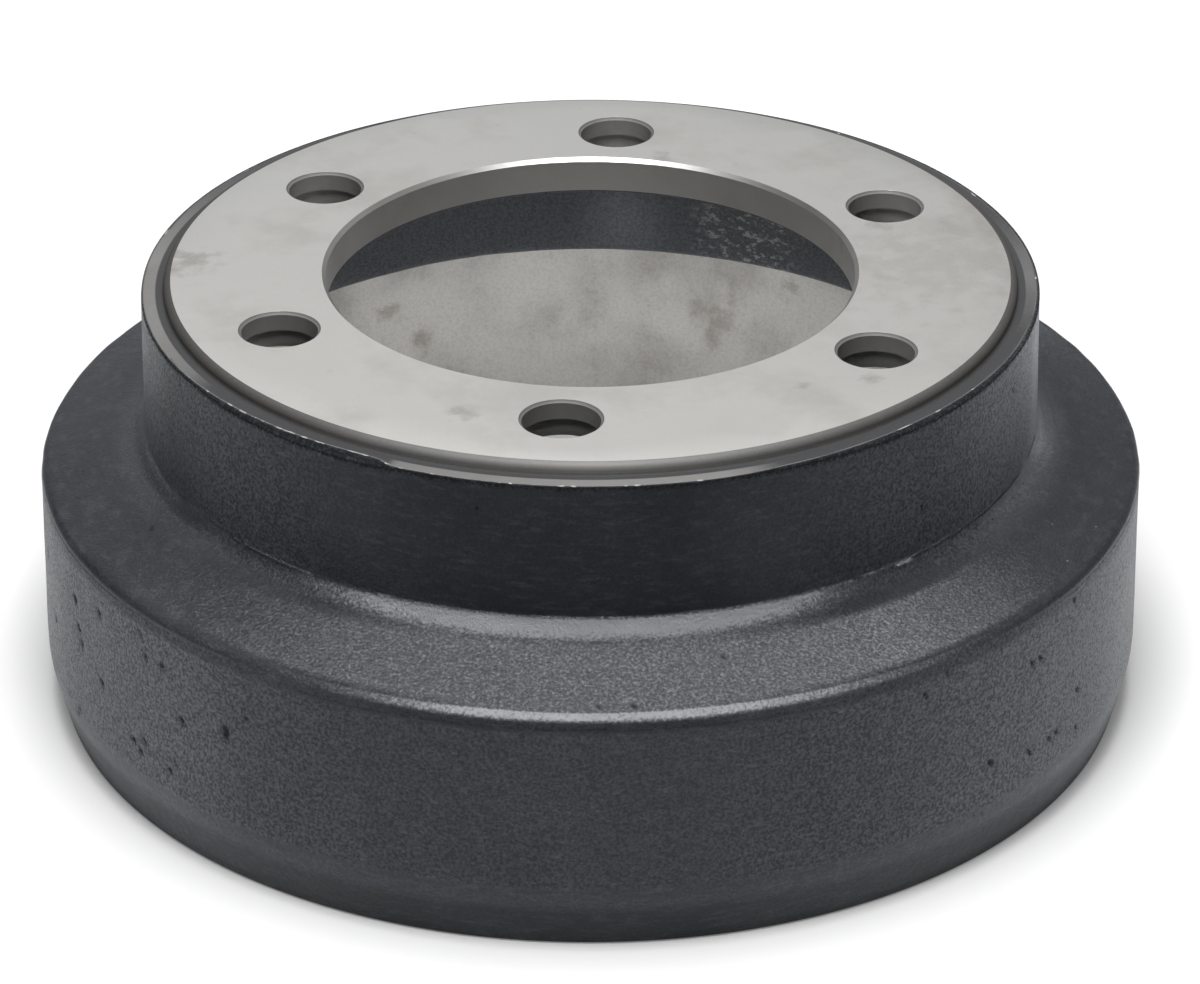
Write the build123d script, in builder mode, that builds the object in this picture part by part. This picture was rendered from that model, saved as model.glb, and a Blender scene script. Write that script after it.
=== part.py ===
from build123d import *
import os
from math import cos, isclose, radians, sin, tan

# Brake drum, cast in one piece and then turned: a flat mounting flange with a pilot bore and
# six stud holes, a straight hat below it, a sloping shoulder, and the wide friction ring.
# Millimetres. The open rim lies on Z = 0 and the mounting face is on top, facing +Z.

# Heights, from the open rim up
overall_height = 136.3       # open rim to mounting face
shoulder_edge_height = 77.2  # open rim to the sharp corner of shoulder and friction ring
lip_height = 18.6            # the tapered band above the open rim

# Stud holes. Their circle sets every other diameter, through the reaches below.
stud_circle_diameter = 205.0
stud_count = 6
first_stud_angle = 90.0      # degrees from +X
stud_hole_diameter = 23.0
stud_relief_depth = 6.0      # the back half of each hole is wider
stud_relief_step = 1.5       # by this much all round

# Flange and hat
pilot_bore_margin = 21.5     # stud circle in to the pilot bore's wall, which is 162 across
hat_reach = 34.8             # stud circle out to the outside of the hat at the ledge
hat_wall = 11.4              # thickness of the hat's wall at the flange
ledge_width = 6.8            # ledge, from the hat's outside to the raised mounting face
flange_thickness = 12.0
core_draft_angle = 2.0       # taper of the cast inside wall, in degrees

# Shoulder between the hat and the friction ring
shoulder_slope = 17.0        # in degrees below level
shoulder_wall = 8.0          # thickness, square to the slope

# Friction ring
friction_reach = 17.7        # outside of the hat out to the friction surface, 310 across
ring_wall = 15.6             # wall of the friction ring at its shoulder edge
lip_inset = 4.4              # how far the lip's outside tapers in at the open rim
draft_angle = 1.25           # taper of the cast outside walls, in degrees

# Step from the mounting face down to the ledge, from its rounded rim to its rounded foot
face_edge_radius = 2.2
step_wall = 0.3              # the straight stretch between them
step_foot_radius = 1.0

# Other rounded and broken edges
ledge_edge_break = 0.4
hat_foot_radius = 6.5        # outside of the hat, into the shoulder
shoulder_edge_radius = 2.5
lip_blend_radius = 25.0      # friction ring's outside, into the lip
rim_edge_radius = 1.2        # outside of the open rim
friction_mouth_chamfer = 2.0
friction_corner_radius = 3.0 # inside corner under the shoulder
hat_mouth_radius = 2.5       # inside of the hat, into the shoulder
flange_corner_radius = 8.0   # inside of the hat, into the flange
pilot_bore_chamfer = 1.2
pilot_bore_back_chamfer = 0.8
stud_hole_chamfer = 0.85


def crossing(start, lean, other, slope):
    """Corner where a wall through start, leaning out by lean degrees as it goes down, meets
    a line through other that falls outwards by slope degrees."""
    widening = tan(radians(lean))
    fall = tan(radians(slope))
    height = (other[1] + fall * (other[0] - start[0] - widening * start[1])) / (1 - fall * widening)
    return (start[0] + widening * (start[1] - height), height)


# Levels
flange_underside = overall_height - flange_thickness
ledge_height = overall_height - face_edge_radius - step_wall - step_foot_radius

# Radii
stud_circle_radius = stud_circle_diameter / 2
stud_hole_radius = stud_hole_diameter / 2
stud_relief_radius = stud_hole_radius + stud_relief_step
pilot_bore_radius = stud_circle_radius - pilot_bore_margin
hat_radius = stud_circle_radius + hat_reach
hat_inner_radius = hat_radius - hat_wall
face_radius = hat_radius - ledge_width
friction_radius = hat_radius + friction_reach
ring_top_radius = friction_radius + ring_wall
ring_foot_radius = ring_top_radius + (shoulder_edge_height - lip_height) * tan(radians(draft_angle))
rim_radius = ring_foot_radius - lip_inset

# Corners of half the section, each (radius, height), outside first and then inside
pilot_back = (pilot_bore_radius, flange_underside)
pilot_front = (pilot_bore_radius, overall_height)
face_edge = (face_radius, overall_height)
step_foot = (face_radius, ledge_height)
ledge_edge = (hat_radius, ledge_height)
shoulder_edge = (ring_top_radius, shoulder_edge_height)
hat_foot = crossing(ledge_edge, draft_angle, shoulder_edge, shoulder_slope)
ring_foot = (ring_foot_radius, lip_height)
rim_edge = (rim_radius, 0)
friction_mouth = (friction_radius, 0)
under_shoulder = (
    ring_top_radius - shoulder_wall * sin(radians(shoulder_slope)),
    shoulder_edge_height - shoulder_wall * cos(radians(shoulder_slope)),
)
friction_corner = crossing(friction_mouth, 0, under_shoulder, shoulder_slope)
flange_corner = (hat_inner_radius, flange_underside)
hat_mouth = crossing(flange_corner, core_draft_angle, under_shoulder, shoulder_slope)

outline = [
    pilot_back,
    pilot_front,
    face_edge,
    step_foot,
    ledge_edge,
    hat_foot,
    shoulder_edge,
    ring_foot,
    rim_edge,
    friction_mouth,
    friction_corner,
    hat_mouth,
    flange_corner,
]

rounded_corners = [
    (face_edge, face_edge_radius),
    (step_foot, step_foot_radius),
    (hat_foot, hat_foot_radius),
    (shoulder_edge, shoulder_edge_radius),
    (ring_foot, lip_blend_radius),
    (rim_edge, rim_edge_radius),
    (friction_corner, friction_corner_radius),
    (hat_mouth, hat_mouth_radius),
    (flange_corner, flange_corner_radius),
]

chamfered_corners = [
    (pilot_back, pilot_bore_back_chamfer),
    (pilot_front, pilot_bore_chamfer),
    (ledge_edge, ledge_edge_break),
    (friction_mouth, friction_mouth_chamfer),
]

with BuildPart() as brake_drum:
    # Body of revolution, from half its section
    with BuildSketch(Plane.XZ) as section:
        with BuildLine():
            Polyline(outline, close=True)
        make_face()
        for corner, radius in rounded_corners:
            fillet(section.vertices().sort_by_distance((*corner, 0))[0], radius)
        for corner, length in chamfered_corners:
            chamfer(section.vertices().sort_by_distance((*corner, 0))[0], length)
    revolve(axis=Axis.Z)

    # Stud holes, drilled through the flange and relieved from the back
    back_face = Plane(origin=(0, 0, flange_underside), x_dir=(1, 0, 0), z_dir=(0, 0, -1))
    with Locations(back_face):
        with PolarLocations(stud_circle_radius, stud_count, start_angle=-first_stud_angle):
            CounterBoreHole(
                radius=stud_hole_radius,
                counter_bore_radius=stud_relief_radius,
                counter_bore_depth=stud_relief_depth,
                depth=flange_thickness,
            )

    # Broken edge at the mouth of each stud hole
    mounting_face = brake_drum.faces().filter_by(GeomType.PLANE).sort_by(Axis.Z)[-1]
    rings = mounting_face.edges().filter_by(GeomType.CIRCLE)
    mouths = rings.filter_by(lambda ring: isclose(ring.radius, stud_hole_radius, rel_tol=1e-6))
    chamfer(mouths, stud_hole_chamfer)

brake_drum.part.label = "brake_drum"
os.makedirs("parts", exist_ok=True)
export_step(brake_drum.part, "parts/brake_drum.step")
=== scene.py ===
"""A cast-iron brake drum on a pale studio floor: turned and cast surfaces, lamps and camera.

Lengths are in metres. The drum stands on its open rim on Z = 0, with its axis on Z.
"""

from functools import reduce
from math import cos, pi, radians, sin, tan

import bpy
import numpy as np
from bpy.props import FloatProperty, FloatVectorProperty, IntProperty, PointerProperty
from bpy.types import Operator, Panel, PropertyGroup
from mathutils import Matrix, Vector


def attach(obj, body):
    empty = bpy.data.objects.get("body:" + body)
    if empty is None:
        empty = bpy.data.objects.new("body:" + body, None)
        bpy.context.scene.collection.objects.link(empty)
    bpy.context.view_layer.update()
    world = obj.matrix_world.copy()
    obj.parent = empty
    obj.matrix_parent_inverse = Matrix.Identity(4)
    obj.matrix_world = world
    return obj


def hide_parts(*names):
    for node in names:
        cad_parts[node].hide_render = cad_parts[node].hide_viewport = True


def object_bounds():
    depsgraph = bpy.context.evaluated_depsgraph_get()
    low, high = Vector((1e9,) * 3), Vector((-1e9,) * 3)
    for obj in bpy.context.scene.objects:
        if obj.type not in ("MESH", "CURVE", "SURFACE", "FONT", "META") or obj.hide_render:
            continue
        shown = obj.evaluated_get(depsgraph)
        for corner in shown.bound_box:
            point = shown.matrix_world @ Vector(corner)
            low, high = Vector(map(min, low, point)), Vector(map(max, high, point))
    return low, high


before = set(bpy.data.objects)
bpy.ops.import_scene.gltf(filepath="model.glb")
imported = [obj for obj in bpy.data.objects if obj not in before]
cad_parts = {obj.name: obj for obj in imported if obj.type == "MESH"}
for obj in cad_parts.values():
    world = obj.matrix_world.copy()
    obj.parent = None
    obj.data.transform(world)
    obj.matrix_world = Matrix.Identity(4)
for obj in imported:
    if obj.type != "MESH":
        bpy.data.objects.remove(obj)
cad_box = [list(corner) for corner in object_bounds()]

bl_info = {
    "name": "Brake drum",
    "version": (1, 0, 0),
    "blender": (4, 5, 0),
    "location": "3D View > Sidebar > Brake drum",
    "description": "Makes a cast brake drum with turned faces, and its studio",
    "category": "Object",
}

MM = 0.001

# Tables that start with an angle give it as an azimuth in degrees from +X. First, the width in
# millimetres of the strip at the ledge's outer edge that the turning tool didn't reach
UNTURNED_STRIP = {
    -180: 0.4, -155: 0.5, -146: 0.8, -138: 1.5, -130: 2.1, -121: 2.8, -115: 3.3, -112: 3.0,
    -109.6: 0.6, -95: 0.4, -69: 0.4, -66: 0.6, -62: 1.2, -47: 1.9, -40: 2.0, -30: 1.8, -15: 1.3,
    -5: 1.0, 5: 0.7, 25: 1.2, 65: 1.2, 95: 0.8, 125: 1.4, 155: 1.0, 180: 0.4,
}

# Chips in the ledge's edge down to bright metal: azimuth, length in millimetres, and strength
EDGE_CHIPS = (
    (-140.6, 1.0, 1.05), (-135.8, 1.3, 1.5), (-133.2, 1.6, 1.5), (-131.2, 1.0, 1.2),
    (-129.8, 0.9, 1.2), (-127.0, 1.2, 1.5), (-125.2, 2.4, 1.5), (-122.7, 1.2, 1.65),
    (-120.4, 1.8, 1.35), (-115.6, 1.5, 1.8), (-113.9, 1.6, 1.8), (-110.4, 1.2, 1.35),
    (-108.3, 1.0, 1.2), (-104.4, 0.8, 1.2), (-95.9, 0.7, 1.2), (-94.7, 0.7, 1.05),
    (-88.9, 0.9, 1.5), (-87.5, 0.9, 1.5), (-81.3, 0.8, 1.2), (-79.9, 0.9, 1.35), (-73.9, 0.7, 1.05),
    (-72.5, 1.0, 1.5), (-43.9, 1.5, 1.5), (-42.7, 1.0, 1.2), (-37.4, 1.3, 1.5), (-30.0, 0.9, 0.9),
    (4.0, 1.0, 1.2), (31.0, 1.4, 1.35), (58.0, 0.8, 1.2), (77.0, 1.6, 1.5), (81.0, 1.0, 1.2),
    (118.0, 1.2, 1.35), (149.0, 1.0, 1.2), (171.0, 1.5, 1.5),
)

# Pits and knobs of the casting: azimuth, then radius, height, half width and rise in millimetres.
# A pit's rise is below nought.
CAST_MARKS = (
    (-157.9, 171.4, 41.9, 1.12, -0.7), (-150.3, 171.0, 59.9, 1.36, -0.9),
    (-149.4, 171.1, 52.5, 1.2, -0.8), (-148.4, 171.3, 47.3, 1.04, -0.7),
    (-143.8, 170.9, 64.3, 1.04, -0.6), (-144.1, 171.4, 40.7, 1.2, -0.8),
    (-132.5, 170.9, 63.5, 1.04, -0.6), (-150.0, 171.8, 22.6, 0.96, -0.5),
    (-150.8, 171.8, 20.6, 0.96, -0.5), (-137.8, 171.6, 29.9, 1.12, -0.8),
    (-136.0, 171.6, 32.1, 0.96, -0.6), (-136.4, 171.7, 28.8, 0.96, -0.6),
    (-131.3, 171.7, 27.5, 1.04, -0.6), (-129.5, 171.3, 47.1, 1.28, -0.9),
    (-123.2, 171.2, 52.6, 0.96, -0.7), (-123.2, 171.2, 49.8, 1.04, -0.8),
    (-36.4, 171.0, 61.0, 1.12, -0.7), (-35.1, 171.0, 59.6, 1.12, -0.7),
    (-27.3, 171.4, 39.1, 1.12, -0.7), (-31.2, 171.6, 29.7, 1.04, -0.7),
    (-27.4, 171.7, 26.8, 0.96, -0.6), (-36.1, 171.6, 30.9, 1.04, -0.6),
    (-32.9, 171.6, 29.4, 0.96, -0.6), (-42.2, 171.5, 35.4, 1.2, -0.8),
    (-70.7, 151.7, 83.0, 0.96, -0.5), (-146.7, 148.3, 84.0, 1.04, -0.5),
    (-84.6, 166.7, 78.4, 1.12, -0.5), (-80.8, 167.0, 78.3, 1.2, -0.6),
    (-68.7, 151.5, 83.0, 1.2, 0.8), (-54.4, 144.0, 85.3, 1.04, 0.5), (37.0, 150.0, 83.5, 1.2, 0.7),
    (112.0, 156.0, 81.7, 1.28, 0.7), (81.0, 171.2, 51.0, 1.36, -0.9),
)

# How thickly random pits lie
PIT_PATCHES = {
    -180: 0.25, -160: 0.8, -150: 1.0, -125: 0.9, -115: 0.15, -55: 0.1, -44: 0.7, -28: 0.8,
    -18: 0.15, 20: 0.1, 40: 0.9, 62: 0.8, 75: 0.1, 110: 0.15, 125: 0.9, 150: 0.6, 165: 0.1,
    180: 0.25,
}

# Nicks through the coating to bright metal: azimuth, then radius and height in millimetres
NICKS = (
    (-130.5, 162.0, 79.8), (-20.8, 153.4, 82.5), (-17.8, 163.1, 79.5), (-26.2, 163.0, 79.5),
    (-136.6, 171.1, 57.1), (64.0, 158.0, 81.0), (140.0, 163.0, 79.5), (102.0, 171.2, 60.0),
)

# Stains on turned faces: azimuth, then radius, height and half width in millimetres, and strength
STAINS = (
    (-176.7, 122.9, 136.3, 11, 0.55), (78.4, 85.4, 136.3, 5, 0.4), (22.4, 94.8, 136.3, 6, 0.35),
    (-106.5, 105.4, 136.3, 6, 0.5), (-39.0, 112.6, 136.3, 4, 0.5), (-47.7, 102.2, 136.3, 3.5, 0.45),
    (6.0, 108.0, 136.3, 40, 0.22), (120.6, 155.0, 52.7, 6, 0.6), (116.3, 155.0, 40.1, 7, 0.55),
    (78.0, 155.0, 47.4, 9, 0.5), (79.3, 155.0, 39.5, 7, 0.45), (76.7, 155.0, 54.6, 6, 0.5),
    (68.7, 155.0, 61.3, 5, 0.6),
)

# Dust on the cast outside walls, by azimuth. Its high values on the left and right flanks are
# partly dust and partly painted side light
FLANK_DUST_AND_SIDE_LIGHT = {
    -180: 1.5, -165: 1.8, -150: 1.1, -140: 1.15, -130: 1.1, -120: 0.6, -105: 0.15, -75: 0.0,
    -55: 0.65, -38: 1.1, -22: 1.85, -12: 2.3, -5: 3.3, 5: 2.6, 20: 1.2, 45: 0.4, 90: 0.5, 130: 0.3,
    160: 0.7, 180: 1.4,
}

# How dull the rounded rim of the mounting face is
DULL_RIM = {
    -180: 1.0, -150: 0.98, -130: 0.94, -105: 0.78, -85: 0.66, -65: 0.78, -40: 0.92, -20: 0.95,
    10: 0.97, 90: 1.0, 180: 1.0,
}

# How dusty the unturned strip of the ledge is
DUSTY_STRIP = {
    -180: 0.6, -160: 0.5, -148: 0.1, -110: 0.0, -60: 0.0, -40: 0.1, -20: 0.4, 180: 0.6,
}

# How far the fillet between hat and shoulder is rubbed bare, which also paints its highlight,
# strongest at the front
FILLET_WEAR_AND_HIGHLIGHT = {
    -180: 0.1, -160: 0.4, -150: 0.4, -138: 0.1, -128: 0.15, -118: 0.45, -108: 0.85, -98: 1.0,
    -72: 1.0, -62: 0.8, -54: 0.4, -44: 0.1, -20: 0.1, 30: 0.4, 90: 0.9, 150: 0.4, 180: 0.2,
}

# How far the shoulder's edge is rubbed bare, which also paints its highlight, strongest at the front
EDGE_WEAR_AND_HIGHLIGHT = {
    -180: 0.05, -140: 0.05, -122: 0.1, -112: 0.3, -103: 0.65, -95: 1.0, -75: 1.0, -65: 0.8,
    -55: 0.5, -45: 0.25, -35: 0.1, 0: 0.1, 60: 0.6, 100: 0.8, 140: 0.5, 180: 0.05,
}

# How strong the sand grain is on the shoulder. It also sets how far the shoulder is rubbed
# bare, which paints its sheen, strongest at the front
SHOULDER_SAND_AND_SHEEN = {
    -180: 0.06, -155: 0.12, -140: 0.3, -125: 0.55, -110: 0.92, -70: 1.06, -52: 1.15, -38: 0.75,
    -26: 0.3, 0: 0.12, 35: 0.7, 90: 1.0, 140: 0.8, 165: 0.2, 180: 0.08,
}

# Middle of the chalky scuffs inside the hat: azimuth, radius and height in millimetres
SCUFFS = (70.5, 127.0, 92.5)

# Softboxes, each with its place and its size across and along, and the point that they face
KEY_SOFTBOX = ((-0.01, -0.33, 1.33), (0.55, 0.90))
LONG_SOFTBOX = ((0.0, 0.0, 1.70), (0.9, 2.2))
LAMP_AIM = (0.0, 0.0, 0.08)

# The floor lies a hair below the open rim, and reaches this far each way
FLOOR_LEVEL = -0.2 * MM
FLOOR_REACH = 4.0
WHITE = (1.0, 1.0, 1.0, 1.0)


# --- Settings that a user would change ---

def length(name, description, millimetres):
    """A length property, stored in metres."""
    return FloatProperty(name=name, description=description, default=millimetres * MM, min=0,
                         precision=5, unit="LENGTH", subtype="DISTANCE")


def angle(name, description, degrees):
    """An angle property, stored in radians."""
    return FloatProperty(name=name, description=description, default=radians(degrees),
                         subtype="ANGLE", unit="ROTATION")


def colour(name, description, default):
    """A linear colour property."""
    return FloatVectorProperty(name=name, description=description, default=default, size=3,
                               min=0, max=1, subtype="COLOR")


def amount(name, description, default, top=1.0):
    """A plain number from 0 to top."""
    return FloatProperty(name=name, description=description, default=default, min=0, max=top)


class DrumSizes(PropertyGroup):
    """Sizes of the drum's section, from its axis and from its open rim."""

    height: length("Height", "Open rim to mounting face", cad_box[1][2] / MM)
    outer_radius: length("Outer radius", "Nothing reaches further from the axis",
                         min(cad_box[1][:2]) / MM - 0.005)
    bore_radius: length("Bore radius", "Pilot bore", 81.0)
    bore_chamfer: length("Bore chamfer", "Broken edge of the bore at the mounting face", 1.2)
    bore_back_chamfer: length("Bore back chamfer", "Broken edge behind", 0.8)
    face_radius: length("Face radius", "Outside of the raised mounting face", 130.5)
    face_edge_radius: length("Face edge radius", "Rounding of the mounting face's rim", 2.2)
    ledge_drop: length("Ledge drop", "Mounting face down to the ledge", 3.5)
    ledge_foot_radius: length("Ledge foot radius", "Rounding at the foot of that step", 1.0)
    hat_radius: length("Hat radius", "Outside of the hat at the ledge", 137.3)
    hat_edge_radius: length("Hat edge radius", "Rounding at the ledge's outer edge", 0.5)
    hat_inner_radius: length("Hat inner radius", "Inside of the hat at the flange", 125.9)
    hat_foot_radius: length("Hat foot radius", "Fillet from hat to shoulder", 6.5)
    flange_thickness: length("Flange thickness", "Mounting face to the hub's seat", 12.0)
    flange_corner_radius: length("Flange corner radius", "Fillet inside the hat", 8.0)
    hat_mouth_radius: length("Hat mouth radius", "Rounding inside, hat to shoulder", 2.5)
    shoulder_edge_height: length("Shoulder height", "Open rim to the shoulder's edge", 77.2)
    shoulder_edge_radius: length("Shoulder edge radius", "Rounding of that edge", 3.3)
    shoulder_wall: length("Shoulder wall", "Thickness of the shoulder", 8.0)
    ring_radius: length("Ring radius", "Outside of the ring at the shoulder's edge", 170.6)
    friction_radius: length("Friction radius", "Turned surface that the shoes press on", 155.0)
    friction_corner_radius: length("Friction corner", "Rounding at its inner end", 3.0)
    friction_mouth_chamfer: length("Mouth chamfer", "Broken edge at the open rim", 2.0)
    lip_height: length("Lip height", "Open rim to the start of the taper", 18.6)
    lip_inset: length("Lip inset", "How far the lip tapers in", 4.4)
    lip_blend_radius: length("Lip blend radius", "Blend from ring to lip", 25.0)
    rim_edge_radius: length("Rim edge radius", "Rounding outside the open rim", 1.2)
    shoulder_slope: angle("Shoulder slope", "Fall of the shoulder outwards", 17)
    draft: angle("Draft", "Taper of the cast outside walls", 1.25)
    core_draft: angle("Core draft", "Taper of the cast inside wall", 2)
    stud_circle_radius: length("Stud circle radius", "Axis to each stud hole", 102.5)
    stud_count: IntProperty(name="Stud holes", description="Number of stud holes", default=6, min=3)
    stud_angle: angle("First stud hole", "Its azimuth from +X", 90)
    stud_hole_radius: length("Stud hole radius", "Land of each stud hole", 11.5)
    stud_chamfer: length("Stud chamfer", "Broken edge of each stud hole", 0.85)
    stud_land: length("Stud land", "Mounting face down to the wider back half", 6.0)
    stud_relief_radius: length("Stud relief radius", "Wider back half of each hole", 13.0)
    wave_height: length("Casting unevenness", "Typical height of the casting's waves", 0.09)
    edge_wave_height: length("Edge unevenness", "More of it along the shoulder's edge and foot", 0.05)
    pit_count: IntProperty(name="Random pits", description="Pits outside those placed by hand",
                           default=60, min=0)
    wave_seed: IntProperty(name="Casting seed", description="Picks the pattern of waves and pits",
                           default=7)


class DrumFinish(PropertyGroup):
    """Colours and surface character of the coated casting and the turned metal."""

    coat: colour("Coat", "Dark coating of the casting", (0.0075, 0.0088, 0.0115))
    coat_dusty: colour("Dusty coat", "Coating where it is thin and dusty", (0.175, 0.188, 0.207))
    # Powder is partly chalky powder and partly painted side light on the flanks
    powder_and_side_light: colour("Powder", "Chalky powder on the casting's sides", (0.55, 0.567, 0.595))
    # Rubbed and polished casting are wear, and also the painted sheen and highlights of the shoulder,
    # its fillet and its edge
    rubbed: colour("Rubbed casting", "Sand grain rubbed through to iron", (0.150, 0.156, 0.168))
    polished_and_highlight: colour("Polished casting", "Edges rubbed smooth", (0.52, 0.53, 0.55))
    metal: colour("Turned metal", "Bare turned iron", (0.60, 0.588, 0.565))
    metal_matt: colour("Friction surface", "Finely turned, matt iron", (0.74, 0.72, 0.69))
    metal_stained: colour("Stained metal", "Bare iron under old oil", (0.46, 0.44, 0.41))
    metal_dull: colour("Dull metal", "Turned step and ledge", (0.056, 0.056, 0.058))
    metal_oiled: colour("Oiled metal", "Rounded rim of the mounting face", (0.066, 0.063, 0.060))
    brown: colour("Brown stain", "Rusty marks on the turned faces", (0.20, 0.165, 0.125))
    scuff: colour("Scuff", "Chalky marks inside the hat", (0.50, 0.50, 0.49))
    # Pit is the colour of painted shade in pits, under the shoulder's edge and on the unturned strip
    pit: colour("Pit", "Bottom of a casting pit", (0.004, 0.004, 0.005))
    chip: colour("Chip", "Fresh metal in a chipped edge", (0.66, 0.65, 0.63))
    coat_roughness: amount("Coat roughness", "Roughness of the coating", 0.42)
    metal_roughness: amount("Metal roughness", "Roughness of the turned metal", 0.42)
    grain_height: amount("Grain height", "Height of the sand grain in millimetres", 0.66, 2.0)


class StudioSettings(PropertyGroup):
    """Camera, lamps and floor."""

    camera_distance: length("Camera distance", "Along the floor from the drum's axis", 1255.25)
    camera_height: length("Camera height", "Above the floor", 729.57)
    camera_aside: length("Camera aside", "To the camera's right of the drum's axis", 2.9)
    camera_turn: angle("Camera turn", "About the drum's axis", 4.57)
    camera_pitch: angle("Camera pitch", "Below level", 28.156)
    lens: amount("Lens", "Focal length in millimetres on 36 mm", 135.8, 500)
    key_lamp: amount("Key lamp", "Radiance of the small softbox overhead", 9.8, 50)
    top_lamp: amount("Top lamp", "Radiance of the long softbox overhead", 2.0, 20)
    backdrop: amount("Backdrop", "Brightness of the backdrop in reflections", 0.72, 2)
    room: amount("Room", "Radiance of the room all round", 0.05, 5)
    floor: colour("Floor", "Pale floor", (0.86, 0.86, 0.86))
    floor_lift: amount("Floor lift", "Added to the floor where the camera sees it", 0.16, 1)
    floor_fade: length("Floor fade", "The floor is white to the camera this far away", 800)


# --- Section of the drum ---

def unit(vector):
    """The vector divided by its length."""
    return vector / np.linalg.norm(vector)


def run(start, end, steps):
    """Points at equal distances on the straight line from start to end."""
    share = np.linspace(0, 1, steps + 1)[:, None]
    return (1 - share) * np.asarray(start, float) + share * np.asarray(end, float)


def bend(before, corner, after, radius, steps):
    """Arc of that radius inside a corner. Its centre lies on the corner's bisector, radius / sin
    of half the angle away. The points turn about it by equal angles between the tangent points,
    each of them radius / tan of half the angle from the corner."""
    corner = np.asarray(corner, float)
    back = unit(np.asarray(before, float) - corner)
    onward = unit(np.asarray(after, float) - corner)
    half = 0.5 * np.arccos(np.clip(back @ onward, -1, 1))
    centre = corner + radius / np.sin(half) * unit(back + onward)
    first = corner + radius / np.tan(half) * back - centre
    last = corner + radius / np.tan(half) * onward - centre
    sweep = pi - 2 * half
    share = np.linspace(0, 1, steps + 1)[:, None]
    return centre + (np.sin((1 - share) * sweep) * first + np.sin(share * sweep) * last) / np.sin(sweep)


def crossing(start, lean, other, slope):
    """Corner where a wall through start, leaning out as it goes down, meets a line through other
    that falls outwards. Both are angles in radians."""
    widening = tan(lean)
    fall = tan(slope)
    height = (other[1] + fall * (other[0] - start[0] - widening * start[1])) / (1 - fall * widening)
    return (start[0] + widening * (start[1] - height), height)


def by_azimuth(knots, azimuth):
    """Value at each azimuth in radians, on straight lines between knots given in degrees."""
    degrees = (np.degrees(azimuth) + 180) % 360 - 180
    return np.interp(degrees, list(knots), list(knots.values()))


def spot_at(azimuth, radius, height):
    """Coordinates of a point given by azimuth in degrees, radius and height."""
    return (radius * cos(radians(azimuth)), radius * sin(radians(azimuth)), height)


def waves(azimuth, along, radius, wavelength, count, source):
    """Unevenness of about unit size: the sum of count cosines of random phase, each with a whole
    number of waves round the drum and a random number along the section, about one in each
    wavelength, times the square root of 2 / count."""
    round_number = np.rint(source.normal(0, pi * radius / wavelength, count))
    along_number = source.normal(0, pi / wavelength, count)
    phase = source.uniform(0, 2 * pi, count)
    angle = (round_number[:, None, None] * azimuth[None, None, :]
             + along_number[:, None, None] * along[None, :, None] + phase[:, None, None])
    return np.sqrt(2 / count) * np.cos(angle).sum(axis=0)


def near(places, spot, width):
    """A bell exp(-(d / width) ** 2) over a grid of places, where d is the distance from the
    place that lies nearest to the spot."""
    away = ((places - spot) ** 2).sum(axis=-1)
    centre = places.reshape(-1, 3)[away.argmin()]
    return np.exp(-((places - centre) ** 2).sum(axis=-1) / width ** 2)


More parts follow.
